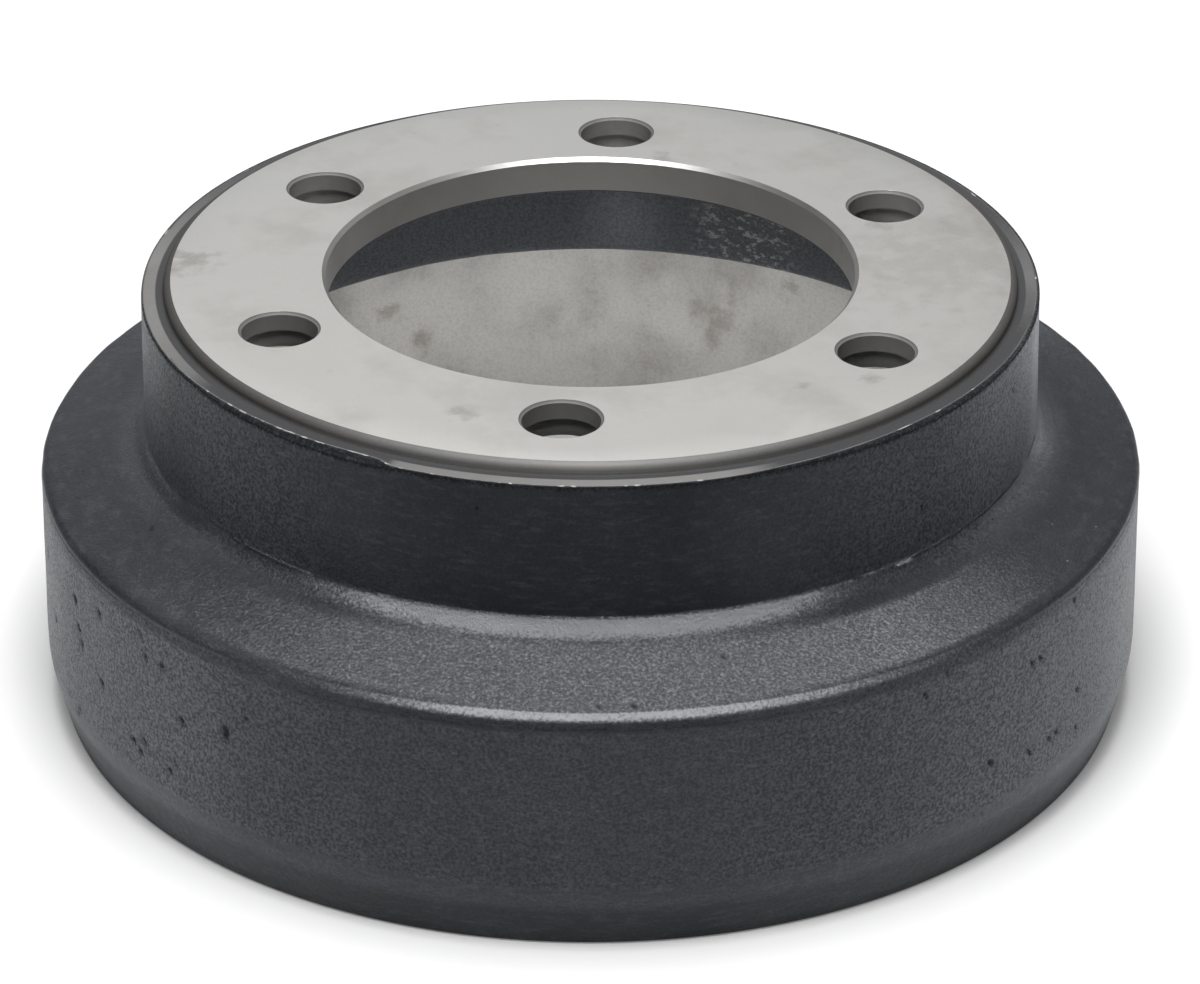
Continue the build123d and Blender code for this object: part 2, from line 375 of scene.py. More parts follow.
def section_stretches(s):
    """The section outside the flange's two flat faces, from the mounting face's rim down the
    outside, over the open rim and up the inside to the flange's underside. Arcs round its
    corners and straight stretches join them. Each stretch is its points, then how turned, dull,
    uneven, wavy at the edges, sandy, thick with pits and rubbed bare it is. Rubbed bare also
    paints the highlights of the fillet and the shoulder's edge, and the shoulder's sheen."""
    face_rim = (s.face_radius, s.height)
    step_foot = (s.face_radius, s.height - s.ledge_drop)
    hat_edge = (s.hat_radius, s.height - s.ledge_drop)
    shoulder_edge = (s.ring_radius, s.shoulder_edge_height)
    hat_foot = crossing(hat_edge, s.draft, shoulder_edge, s.shoulder_slope)
    ring_foot = (s.ring_radius + (s.shoulder_edge_height - s.lip_height) * tan(s.draft), s.lip_height)
    rim_edge = (ring_foot[0] - s.lip_inset, 0)
    friction_mouth = (s.friction_radius, 0)
    under_shoulder = (s.ring_radius - s.shoulder_wall * sin(s.shoulder_slope),
                      s.shoulder_edge_height - s.shoulder_wall * cos(s.shoulder_slope))
    friction_corner = crossing(friction_mouth, 0, under_shoulder, s.shoulder_slope)
    flange_corner = (s.hat_inner_radius, s.height - s.flange_thickness)
    hat_mouth = crossing(flange_corner, s.core_draft, under_shoulder, s.shoulder_slope)
    flange_middle = (s.stud_circle_radius, flange_corner[1])

    face_arc = bend((0, s.height), face_rim, step_foot, s.face_edge_radius, 6)
    foot_arc = bend(face_rim, step_foot, hat_edge, s.ledge_foot_radius, 3)
    edge_arc = bend(step_foot, hat_edge, hat_foot, s.hat_edge_radius, 3)
    hat_arc = bend(hat_edge, hat_foot, shoulder_edge, s.hat_foot_radius, 10)
    shoulder_arc = bend(hat_foot, shoulder_edge, ring_foot, s.shoulder_edge_radius, 7)
    ring_arc = bend(shoulder_edge, ring_foot, rim_edge, s.lip_blend_radius, 4)
    rim_arc = bend(ring_foot, rim_edge, friction_mouth, s.rim_edge_radius, 4)
    mouth_out = (s.friction_radius + s.friction_mouth_chamfer, 0)
    mouth_in = (s.friction_radius, s.friction_mouth_chamfer)
    corner_arc = bend(friction_mouth, friction_corner, hat_mouth, s.friction_corner_radius, 3)
    inner_arc = bend(friction_corner, hat_mouth, flange_corner, s.hat_mouth_radius, 6)
    flange_arc = bend(hat_mouth, flange_corner, flange_middle, s.flange_corner_radius, 5)

    # Coated and turned iron meet across a hair's breadth, and a dark line of painted shade runs
    # under the shoulder's edge
    hair = 0.06 * MM
    dark_line_end = shoulder_arc[-1] + 1.3 * MM * unit(ring_arc[0] - shoulder_arc[-1])

    # The fillet is barest in its upper part, and the shoulder's edge on its upper side: the bare
    # iron there paints their highlights
    fillet_wear_and_highlight = np.interp(np.linspace(0, 1, len(hat_arc)), (0, 0.22, 0.35, 1), (0, 3, 3, 1.26))
    edge_wear_and_highlight = 2.2 * np.clip(2.4 - 2.6 * np.linspace(0, 1, len(shoulder_arc)), 0, 1)

    return (
        (face_arc[:1], 1, 0, 0, 0, 0, 0, 0),
        (np.vstack([0.9 * face_arc[0] + 0.1 * face_arc[1], face_arc[1:]]), 1, 1, 0, 0, 0, 0, 0),
        (foot_arc, 1, 1, 0, 0, 0, 0, 0),
        (run(foot_arc[-1], edge_arc[0], 12), 1, 1, 0, 0, 0.8, 0, 0),
        (edge_arc, 1, 1, 0, 0, 1.2, 0, 0),
        (run(edge_arc[-1] + (0, -hair), hat_arc[0], 15), 0, 0, 1, 0, 0.8, 0.35, 0.05),
        # The bare rows of the fillet, the shoulder and its edge also paint their highlights and sheen
        (hat_arc, 0, 0, 1, 0.8, 1.6, 0.1, fillet_wear_and_highlight),
        (run(hat_arc[-1], shoulder_arc[0], 12), 0, 0.12, 1, 0.1, 1.0, 0.1, 1.15),
        (shoulder_arc, 0, 0.15, 1, 1, 1.1, 0, edge_wear_and_highlight),
        # No dust under the shoulder's edge: a dark line of painted shade
        (run(shoulder_arc[-1], dark_line_end, 1), 0, 0, 1, 0, 0.6, 0, 0),
        (run(dark_line_end, ring_arc[0], 24), 0, 0.5, 1, 0, 0.8, 1, 0.08),
        (ring_arc, 0, 0.4, 1, 0, 0.45, 0.5, 0.08),
        (run(ring_arc[-1], rim_arc[0], 4), 0, 0, 0.5, 0, 0.15, 0, 0),
        (rim_arc, 0, 0, 0, 0, 0.1, 0, 0),
        (run(rim_arc[-1] + (-hair, 0), mouth_out, 2), 1, 0.5, 0, 0, 0, 0, 0),
        (run(mouth_out, mouth_in, 1), 1, 0.2, 0, 0, 0, 0, 0),
        (run(mouth_in, corner_arc[0], 6), 1, 0, 0, 0, 0, 0, 0),
        (run(corner_arc[0] + (0, hair), corner_arc[1], 1), 0, 0.8, 0, 0, 0.5, 0, 0),
        (corner_arc[1:], 0, 1.5, 0.5, 0, 0.6, 0, 0),
        (run(corner_arc[-1], inner_arc[0], 2), 0, 1.5, 1, 0, 0.5, 0.3, 0),
        (inner_arc, 0, 1.5, 1, 0.3, 0.5, 0.3, 0),
        (run(inner_arc[-1], flange_arc[0], 8), 0, 1.5, 1, 0, 0.5, 0.5, 0),
        (flange_arc, 0, 1.5, 0.5, 0, 0.5, 0, 0),
    )


def drum_section(s, azimuth):
    """The section with the casting's waves, pits and knobs, each of them moved along its
    point's outward direction. Gives grids of radius and height, with a row for each point and a
    column for each azimuth, then how turned, dull, sandy and bare each row is, where bare also
    paints highlights and sheen, and the rise of pits and knobs over the same grid."""
    points, marks = [], []
    for part, *mark in section_stretches(s):
        rows = np.stack([np.broadcast_to(value, (len(part),)) for value in mark], axis=1)
        shared = 1 if points and np.allclose(part[0], points[-1][-1]) else 0
        points.append(part[shared:])
        marks.append(rows[shared:])
    points = np.concatenate(points)
    turned, dull, uneven, edge, sand, pits, bare = np.concatenate(marks).T
    uneven[-1] = 0

    radius = np.repeat(points[:, :1], len(azimuth), axis=1)
    height = np.repeat(points[:, 1:], len(azimuth), axis=1)
    along = np.concatenate([[0], np.cumsum(np.linalg.norm(np.diff(points, axis=0), axis=1))])
    tangent = np.gradient(points, along, axis=0)
    outward = np.stack([-tangent[:, 1], tangent[:, 0]], axis=1)
    outward /= np.linalg.norm(outward, axis=1)[:, None]

    # Waves
    source = np.random.default_rng(s.wave_seed)
    swell = 0
    for share, wavelength, count in ((0.62, 90, 40), (0.45, 34, 60), (0.25, 14, 90)):
        swell = swell + share * waves(azimuth, along, s.ring_radius, wavelength * MM, count, source)
    ripple = waves(azimuth, along, s.ring_radius, 13 * MM, 90, source)
    rise = uneven[:, None] * (s.wave_height * swell + s.edge_wave_height * edge[:, None] * ripple)
    radius += outward[:, :1] * rise
    height += outward[:, 1:] * rise

    # Pits and knobs, listed and at random
    thickness = pits[:, None] * by_azimuth(PIT_PATCHES, azimuth) * np.gradient(along)[:, None]
    chosen = source.choice(radius.size, s.pit_count, replace=False,
                           p=(thickness / thickness.sum()).ravel())
    widths = source.uniform(0.55, 1.0, s.pit_count) * MM
    depths = -source.uniform(0.15, 0.6, s.pit_count) * MM
    by_hand = np.array(CAST_MARKS, float)
    turn = np.radians(by_hand[:, 0])
    reach, level, width, lift = MM * by_hand[:, 1:].T
    spots = np.stack([reach * np.cos(turn), reach * np.sin(turn), level], axis=1)
    places = np.stack([radius * np.cos(azimuth), radius * np.sin(azimuth), height], axis=-1)
    spots = np.concatenate([spots, places.reshape(-1, 3)[chosen]])
    widths = np.concatenate([width, widths])
    depths = np.concatenate([lift, depths])
    dent = np.zeros_like(radius)
    for spot, width, depth in zip(spots, widths, depths):
        dent += depth * near(places, spot, width)
    dent *= (uneven > 0.9)[:, None]
    radius = np.minimum(radius + outward[:, :1] * dent, s.outer_radius)
    height += outward[:, 1:] * dent
    return radius, height, turned, dull, sand, bare, dent


# --- Mesh of the drum ---

MARKS = ("turned", "dull", "chips", "sand", "bare", "painted_shade")


class Shell:
    """Gathers closed bands of quads, then joins their shared points into one mesh."""

    def __init__(self):
        self.points = []
        self.marks = []
        self.quads = []
        self.total = 0

    def band(self, x, y, z, marks, turned_over=False):
        """Adds a grid of points whose columns close on themselves. marks holds one array per
        attribute, each broadcast to the grid."""
        shape = np.broadcast(x, y, z).shape
        grid = np.arange(shape[0] * shape[1]).reshape(shape) + self.total
        after = np.roll(grid, -1, axis=1)
        corners = [grid[:-1], grid[1:], after[1:], after[:-1]]
        if turned_over:
            corners.reverse()
        self.quads.append(np.stack(corners, axis=-1).reshape(-1, 4))
        for rows, values in ((self.points, (x, y, z)), (self.marks, marks)):
            spread = [np.broadcast_to(value, shape) for value in values]
            rows.append(np.stack(spread, axis=-1).reshape(-1, len(values)))
        self.total += grid.size

    def mesh(self, name):
        """Joins points that agree to a tenth of a micrometre, of which the first gives the
        marks, and makes the mesh with smooth faces and one float attribute for each mark."""
        points = np.concatenate(self.points)
        marks = np.concatenate(self.marks)
        quads = np.concatenate(self.quads)
        keys, first, inverse = np.unique(np.rint(points / 1e-7).astype(np.int64), axis=0,
                                         return_index=True, return_inverse=True)
        quads = inverse.reshape(-1)[quads]
        mesh = bpy.data.meshes.new(name)
        mesh.vertices.add(len(keys))
        mesh.vertices.foreach_set("co", points[first].astype(np.float32).ravel())
        mesh.loops.add(quads.size)
        mesh.loops.foreach_set("vertex_index", quads.astype(np.int32).ravel())
        mesh.polygons.add(len(quads))
        mesh.polygons.foreach_set("loop_start", np.arange(0, quads.size, 4, dtype=np.int32))
        mesh.update(calc_edges=True)
        if mesh.validate():
            raise RuntimeError(name + " has faulty faces")
        for column, mark_name in enumerate(MARKS):
            attribute = mesh.attributes.new(mark_name, "FLOAT", "POINT")
            attribute.data.foreach_set("value", marks[first, column].astype(np.float32))
        mesh.shade_smooth()
        mesh.set_sharp_from_angle(angle=radians(38))
        return mesh


def chips_and_nicks(s, azimuth, radius, height, cut_end):
    """How far the coating is broken to bright metal: a bell across and along the end of the cut
    for each chip of the ledge's edge, and a round bell for each nick."""
    edge = np.minimum(cut_end, s.hat_radius - 0.2 * MM)
    chips = np.zeros_like(radius)
    for place, size, strength in EDGE_CHIPS:
        off = (azimuth - radians(place) + pi) % (2 * pi) - pi
        chips += strength * np.exp(-(off * s.hat_radius / (size * MM)) ** 2)
    chips *= np.exp(-((radius - edge) / (0.75 * MM)) ** 2)
    chips *= height > s.height - s.ledge_drop - 1.6 * MM
    places = np.stack([radius * np.cos(azimuth), radius * np.sin(azimuth), height], axis=-1)
    for place, reach, level in NICKS:
        chips += 1.6 * near(places, spot_at(place, reach * MM, level * MM), 0.7 * MM)
    return chips


def casting_skin(s, azimuth):
    """The casting's outside and inside, as grids of radius and height and of the mesh's marks.
    Each mark starts from its stretch of the section and then changes round the drum."""
    radius, height, turned, dull, sand, bare, dent = drum_section(s, azimuth)
    turned, dull, sand, bare = [mark[:, None] for mark in (turned, dull, sand, bare)]
    ledge = s.height - s.ledge_drop
    edge_height = s.shoulder_edge_height

    # The ledge's outer strip, past the end of the cut, wasn't turned, and lies a little lower.
    # Where the strip is narrow, a second cut has left a brighter band inside it.
    cut_end = s.hat_radius - by_azimuth(UNTURNED_STRIP, azimuth) * MM
    on_ledge = (np.abs(height - ledge) < 0.9 * MM) & (radius > s.face_radius)
    past = np.where(on_ledge, (radius - cut_end) / (0.6 * MM), -1)
    strip = np.clip(past + 0.5, 0, 1)
    drop = 0.15 * MM + 0.25 * np.clip(radius - cut_end, 0, 4 * MM)
    height = height - drop * np.clip(past - 2, 0, 1)
    narrow = np.clip(1.4 - (s.hat_radius - cut_end) / (0.9 * MM), 0, 1)
    second_cut = np.where(on_ledge & (radius > s.face_radius + 2.6 * MM), narrow, 0)

    # Dull metal on the ledge and on the face's rim, and dust on the walls, which thins out
    # across the shoulder. On the left and right flanks that dust is partly painted side light
    shade = np.where(strip > 0, 1 - (1 - by_azimuth(DUSTY_STRIP, azimuth)) * strip,
                     dull - 0.33 * second_cut)
    on_rim = (radius < s.face_radius + 0.3 * MM) & (height > ledge + 1.0 * MM) & (turned > 0.5)
    shade = np.where(on_rim, shade * by_azimuth(DULL_RIM, azimuth), shade)
    wall = (radius > s.hat_radius - 1 * MM) & (turned < 0.5)
    above = height > edge_height - 1 * MM
    out = np.clip((radius - s.hat_radius - 2 * MM) / (12 * MM), 0, 1) * above
    # Dust by azimuth, partly painted side light on the left and right flanks
    dusty = by_azimuth(FLANK_DUST_AND_SIDE_LIGHT, azimuth)
    dusty = np.where(height < edge_height - 1 * MM, np.minimum(dusty, 2.2), 1.25 * dusty)
    shade = np.where(wall, shade + 0.65 * dusty * (1 - out) ** 2, shade)

    # Sand grain and rubbed places on the shoulder, its fillet and its edge. The rubbed iron also
    # paints the shoulder's sheen and the highlights of the fillet and the edge
    on_shoulder = (radius > s.hat_radius + 1 * MM) & (height > edge_height - 2 * MM)
    sandy = np.where(on_shoulder, by_azimuth(SHOULDER_SAND_AND_SHEEN, azimuth), 1)
    on_fillet = on_shoulder & (radius < s.hat_radius + 8 * MM)
    on_edge = on_shoulder & (radius > s.ring_radius - s.shoulder_edge_radius)
    wear_and_highlight = np.where(on_edge, by_azimuth(EDGE_WEAR_AND_HIGHLIGHT, azimuth), sandy)
    wear_and_highlight = np.where(on_fillet, by_azimuth(FILLET_WEAR_AND_HIGHLIGHT, azimuth), wear_and_highlight)

    # Painted shade from a dark matt shader: in pits, on a dark line under the shoulder's edge and
    # on the unturned strip
    dark_line_shade = np.abs(height - edge_height + 3.2 * MM) < 0.9 * MM
    dark_line_shade &= radius > s.ring_radius - 0.4 * MM
    depth = np.where(dark_line_shade, 0.22 * MM, 0) - dent
    painted_shade = np.maximum(np.clip(depth / (0.65 * MM), 0, 1), 0.62 * np.clip(past + 0.2, 0, 1))

    chips = chips_and_nicks(s, azimuth, radius, height, cut_end)
    return radius, height, (np.minimum(turned, 1 - strip), shade, chips, sand * sandy,
                            bare * wear_and_highlight, painted_shade)


def sector_border(inner, outer, middle, half_angle, arc_steps, side_steps):
    """Border of one sector of a ring, anticlockwise: the outer arc, the side at the larger
    azimuth inwards, the inner arc back, and the other side outwards. Gives x and y."""
    turn = np.linspace(-half_angle, half_angle, arc_steps + 1)
    reach = np.linspace(outer, inner, side_steps + 1)
    radius = np.concatenate([np.full(arc_steps, outer), reach[:-1],
                             np.full(arc_steps, inner), reach[::-1][:-1]])
    angle = middle + np.concatenate([turn[:-1], np.full(side_steps, half_angle),
                                     turn[::-1][:-1], np.full(side_steps, -half_angle)])
    return radius * np.cos(angle), radius * np.sin(angle)


def turned_metal(dull):
    """Marks of bare turned metal, with how dull each row is."""
    none = np.zeros((1, 1))
    return (none + 1, np.array(dull, float).reshape(-1, 1), none, none, none, none)


def build_drum_mesh(s):
    """The whole drum as one closed shell: the section carried round the axis, the bore, and the
    flange's two flat faces in sectors, each drawn in from its border to its stud hole."""
    arc_steps = 88
    side_steps = 10
    half_sector = pi / s.stud_count
    turns = np.arange(arc_steps * s.stud_count) / arc_steps
    azimuth = s.stud_angle - half_sector + 2 * half_sector * turns
    underside = s.height - s.flange_thickness
    shell = Shell()

    # Outside and inside of the casting
    radius, height, marks = casting_skin(s, azimuth)
    shell.band(radius * np.cos(azimuth), radius * np.sin(azimuth), height, marks)

    # Pilot bore, from behind to the mounting face
    bore = np.array([
        (s.bore_radius + s.bore_back_chamfer, underside),
        (s.bore_radius + 0.93 * s.bore_back_chamfer, underside + 0.07 * s.bore_back_chamfer),
        (s.bore_radius, underside + s.bore_back_chamfer),
        (s.bore_radius, underside + 1.1 * s.bore_back_chamfer),
        (s.bore_radius, s.height - s.bore_chamfer),
        (s.bore_radius + s.bore_chamfer, s.height),
    ])
    shell.band(bore[:, :1] * np.cos(azimuth), bore[:, :1] * np.sin(azimuth), bore[:, 1:],
               turned_metal([0, 1, 1, 0, 0, 0]))

    # Flange faces and stud holes
    hole = np.array([
        (s.stud_hole_radius + s.stud_chamfer, s.height),
        (s.stud_hole_radius + 0.93 * s.stud_chamfer, s.height - 0.07 * s.stud_chamfer),
        (s.stud_hole_radius, s.height - s.stud_chamfer),
        (s.stud_hole_radius, s.height - 0.5 * (s.stud_chamfer + s.stud_land)),
        (s.stud_hole_radius, s.height - s.stud_land),
        (s.stud_relief_radius, s.height - s.stud_land),
        (s.stud_relief_radius, 0.5 * (s.height - s.stud_land + underside)),
        (s.stud_relief_radius, underside),
    ])
    hole_dull = [0, 0.86, 0.62, 0.58, 0.56, 0.5, 0.5, 0.5]
    face_rim_radius = s.face_radius - s.face_edge_radius
    draw_in = np.linspace(0, 1, 3)[:, None]
    for number in range(s.stud_count):
        middle = s.stud_angle + 2 * half_sector * number
        centre_x = s.stud_circle_radius * cos(middle)
        centre_y = s.stud_circle_radius * sin(middle)
        top = sector_border(bore[-1, 0], face_rim_radius, middle, half_sector, arc_steps, side_steps)
        low = sector_border(bore[0, 0], radius[-1, 0], middle, half_sector, arc_steps, side_steps)
        way = np.arctan2(top[1] - centre_y, top[0] - centre_x)
        for (x, y), level, mouth, over in ((top, s.height, hole[0, 0], True),
                                           (low, underside, hole[-1, 0], False)):
            shell.band((1 - draw_in) * x + draw_in * (centre_x + mouth * np.cos(way)),
                       (1 - draw_in) * y + draw_in * (centre_y + mouth * np.sin(way)),
                       np.full((1, 1), level), turned_metal([0]), turned_over=over)
        shell.band(centre_x + hole[:, :1] * np.cos(way), centre_y + hole[:, :1] * np.sin(way),
                   hole[:, 1:], turned_metal(hole_dull), turned_over=True)
    return shell.mesh("drum_casting")


# --- Shader arithmetic ---

class Value:
    """A shader socket in Python arithmetic. Each operator adds one Math node."""

    def __init__(self, bench, socket):
        self.bench = bench
        self.socket = socket

    def math(self, operation, *operands):
        """Adds a Math node of that operation on the given values."""
        return self.bench.add("ShaderNodeMath", {"operation": operation}, dict(enumerate(operands)))

    def __add__(self, other):
        return self.math("ADD", self, other)

    __radd__ = __add__

    def __sub__(self, other):
        return self.math("SUBTRACT", self, other)

    def __rsub__(self, other):
        return self.math("SUBTRACT", other, self)

    def __mul__(self, other):
        return self.math("MULTIPLY", self, other)

    __rmul__ = __mul__

    def at_least(self, other):
        """The larger of the two."""
        return self.math("MAXIMUM", self, other)

    def at_most(self, other):
        """The smaller of the two."""
        return self.math("MINIMUM", self, other)


class Bench:
    """Adds nodes to one node tree, which it empties first."""

    def __init__(self, owner):
        owner.use_nodes = True
        self.tree = owner.node_tree
        self.tree.nodes.clear()

    def add(self, kind, settings=None, sockets=None, out=0):
        """Adds a node of that kind, makes its settings, fills its sockets with values or links,
        and gives one of its outputs, or several where out is a tuple."""
        node = self.tree.nodes.new(kind)
        for name, value in (settings or {}).items():
            setattr(node, name, value)
        for key, value in (sockets or {}).items():
            if isinstance(value, Value):
                self.tree.links.new(value.socket, node.inputs[key])
            else:
                node.inputs[key].default_value = value
        if isinstance(out, tuple):
            return [Value(self, node.outputs[which]) for which in out]
        return Value(self, node.outputs[out]) if len(node.outputs) else None

    def fade(self, value, low, high):
        """0 at low, 1 at high, and a smooth step between them. low may be the larger."""
        return self.add("ShaderNodeMapRange", {"interpolation_type": "SMOOTHSTEP"},
                        {"Value": value, "From Min": low, "From Max": high})

    def blend(self, share, first, second):
        """The first colour where share is 0, the second where it is 1. Each is a socket or a
        colour property."""
        first, second = [end if isinstance(end, Value) else opaque(end) for end in (first, second)]
        return self.add("ShaderNodeMix", {"data_type": "RGBA"}, {0: share, 6: first, 7: second}, out=2)

    def noise(self, place, scale, detail=2.0, roughness=0.5, out=0):
        """Noise about 0.5 that varies over 1 / scale of the place's unit, as a number or as a
        colour."""
        return self.add("ShaderNodeTexNoise", {}, {"Vector": place, "Scale": scale, "Detail": detail,
                                                   "Roughness": roughness}, out=out)

    def split(self, place):
        """The place's three coordinates."""
        return self.add("ShaderNodeSeparateXYZ", {}, {0: place}, out=(0, 1, 2))

    def scaled(self, place, factors):
        """The place with each coordinate multiplied by its own factor."""
        return self.add("ShaderNodeVectorMath", {"operation": "MULTIPLY"}, {0: place, 1: factors})

    def apart(self, place, point):
        """Distance from the place to a fixed point."""
        return self.add("ShaderNodeVectorMath", {"operation": "DISTANCE"}, {0: place, 1: point}, out=1)


def opaque(rgb):
    """A colour property as the four numbers that a colour socket takes."""
    return (*rgb, 1.0)


# --- Iron ---

class Iron:
    """What coated and turned iron share: the place in millimetres, the mesh's marks, and noises
    named by what they look like."""

    def __init__(self, b):
        self.place = b.scaled(b.add("ShaderNodeTexCoord", out=3), (1000, 1000, 1000))
        x, y, self.height = b.split(self.place)
        flat = b.add("ShaderNodeCombineXYZ", {}, {0: x, 1: y})
        self.reach = b.add("ShaderNodeVectorMath", {"operation": "LENGTH"}, {0: flat}, out=1)
        self.marks = {name: b.add("ShaderNodeAttribute", {"attribute_name": name}, out=2)
                      for name in MARKS}
        self.dull = self.marks["dull"]
        self.ragged = b.noise(self.place, 1.4, 2.0)
        self.specks = b.fade(b.noise(self.place, 1.0, 4.0, 0.7), 0.40, 0.66)
        self.turned = b.fade(self.marks["turned"] + (self.ragged - 0.5) * 0.5, 0.42, 0.58)


def cast_coat(b, f, iron):
    """Dark coating on sand-cast iron: dust and powder by how dull the mesh is, which on the flanks
    are partly painted side light; edges rubbed through, which also paint the sheen and highlights
    of the shoulder, its fillet and its edge; pits; and chalky scuffs inside the hat. Gives colour,
    roughness, metallic, height in millimetres and how much painted shade goes into pits, the line
    under the shoulder's edge and the unturned strip."""
    place, dull, specks = iron.place, iron.dull, iron.specks
    sand, bare, painted_shade = [iron.marks[name] for name in ("sand", "bare", "painted_shade")]
    mottle = b.noise(place, 0.035, 3.0, 0.55)
    grain = b.noise(place, 1.08, 4.0, 0.72)
    swell = b.noise(place, 0.26, 2.0, 0.5)
    streaks = b.noise(b.scaled(place, (0.35, 0.35, 1.5)), 0.42, 3.0, 0.6)
    flank = b.fade(dull, 0.25, 0.8) * b.fade(sand, 0.5, 0.8)

    # Dust, then powder, both partly painted side light on the flanks, then places that are rubbed
    # down to iron and polished, which also paint sheen and highlights
    dust_and_side_light = (b.fade(mottle, 0.38, 0.70) * 0.05 + b.fade(streaks, 0.50, 0.68) * 0.10 + specks * 0.02
            + dull * 0.40 + b.fade(dull, 0.8, 1.6) * 0.30)
    dust_and_side_light = dust_and_side_light * (1 + (specks - 0.55) * (0.55 + 0.45 * flank))
    powder_and_side_light = b.fade(dull, 1.55, 2.5) * (0.55 + 0.45 * specks)
    rubbed = b.fade(bare + (grain - 0.5) * 2.6 + (streaks - 0.5) * 0.3, 0.0, 1.4)
    polished_and_highlight = b.fade(bare + (grain - 0.5) * 3.6, 1.0, 2.4)
    tint = b.blend(dust_and_side_light, f.coat, f.coat_dusty)
    tint = b.blend(powder_and_side_light, tint, f.powder_and_side_light)
    tint = b.blend(rubbed, tint, f.rubbed)
    tint = b.blend(polished_and_highlight, tint, f.polished_and_highlight)
    metallic = (rubbed * 3.0).at_most(0.85)
    roughness = (f.coat_roughness + (mottle - 0.5) * 0.16 - rubbed * 0.06
                 - b.fade(dull, 0.7, 1.05) * 0.08)

    # Pits: the mesh's own, and smaller ones gathered in patches, darkened with painted shade
    patches = b.fade(b.noise(place, 0.028, 2.0), 0.38, 0.58) * b.fade(dull, 0.70, 1.05)
    bent = b.add("ShaderNodeVectorMath", {"operation": "ADD"}, {
        0: place, 1: b.scaled(b.noise(place, 0.9, 0.5, out=1), (1.6, 1.6, 1.6))})
    from_pit, pit_tone = b.add("ShaderNodeTexVoronoi", {}, {"Vector": bent, "Scale": 0.42},
                               out=(0, 1))
    size = b.add("ShaderNodeSeparateColor", {}, {0: pit_tone})
    small = b.fade(from_pit, size * 0.22 + 0.05, size * 0.08) * patches * 0.7
    # Share of painted shade: pits, the line under the shoulder's edge, the unturned strip, and dark
    # specks on the flanks
    painted_shade_share = b.fade(painted_shade * 1.1 + (grain - 0.5) * 2.2 * b.fade(painted_shade, 0.0, 0.35), 0.35, 0.80)
    pits_and_painted_shade = painted_shade_share.at_least(small).at_least(b.fade(specks, 0.20, 0.0) * flank * 0.3)
    height = (grain * (0.2 + 0.8 * sand) + swell * (0.3 + 0.5 * sand)) * f.grain_height

    # Scuffs
    scuffs = b.noise(b.scaled(place, (1.0, 1.0, 1.6)), 0.36, 4.0, 0.68)
    near_scuffs = b.fade(b.apart(place, spot_at(*SCUFFS)), 26.0, 8.0) * b.fade(iron.reach, 133, 130)
    scuffed = b.fade(scuffs, 0.53, 0.61) * near_scuffs * (1 - iron.turned)
    return b.blend(scuffed, tint, f.scuff), roughness, metallic, height, pits_and_painted_shade


def turned_iron(b, f, iron):
    """Bare turned iron: fine rings round the axis, clouds, oil spots, brown stains, a matt
    friction surface, and dull metal where the mesh says. Gives colour, roughness, metallic and
    height in millimetres."""
    place, dull = iron.place, iron.dull
    rings = b.noise(b.add("ShaderNodeCombineXYZ", {}, {0: iron.reach, 1: iron.height}), 2.2, 3.0, 0.7)
    cloud = b.noise(place, 0.030, 4.0, 0.6)
    spots = b.fade(b.noise(place, 0.11, 4.0, 0.65), 0.62, 0.78)
    friction = b.fade(iron.height, 74, 70)
    stain = b.fade(cloud, 0.44, 0.74) * 0.6 + spots * 0.35 + iron.specks * (0.08 + 0.25 * friction)
    tint = b.blend(friction, f.metal, f.metal_matt)
    tint = b.blend(stain, tint, f.metal_stained)

    # Brown stains with blotted borders
    blot = b.noise(place, 0.16, 3.0, 0.6)
    stains = []
    for *middle, width, strength in STAINS:
        away = b.apart(place, spot_at(*middle)) + (blot - 0.5) * (3.0 * width)
        stains.append(b.fade(away, 1.1 * width, 0.0) * strength)
    brown = reduce(Value.at_least, stains)
    tint = b.blend(brown * (0.2 + iron.ragged), tint, f.brown)

    # Dull metal, with the face's oiled rim
    on_rim = (b.fade(iron.reach, 132.0, 130.5) * b.fade(iron.reach, 127.5, 128.5)
              * b.fade(iron.height, 132.5, 133.5))
    dulled = b.blend(on_rim * b.fade(dull, 0.75, 0.95), f.metal_dull, f.metal_oiled)
    tint = b.blend(dull * (0.94 + 0.12 * iron.ragged), tint, dulled)
    roughness = f.metal_roughness + (cloud - 0.5) * 0.22 + (rings - 0.5) * 0.10 + dull * 0.28
    metallic = (1 - b.fade(dull, 0.0, 0.7) * 0.8) * (1 - 0.1 * friction)
    height = rings * 0.006 + b.noise(place, 0.9, 2.0) * 0.004
    return tint, roughness, metallic, height


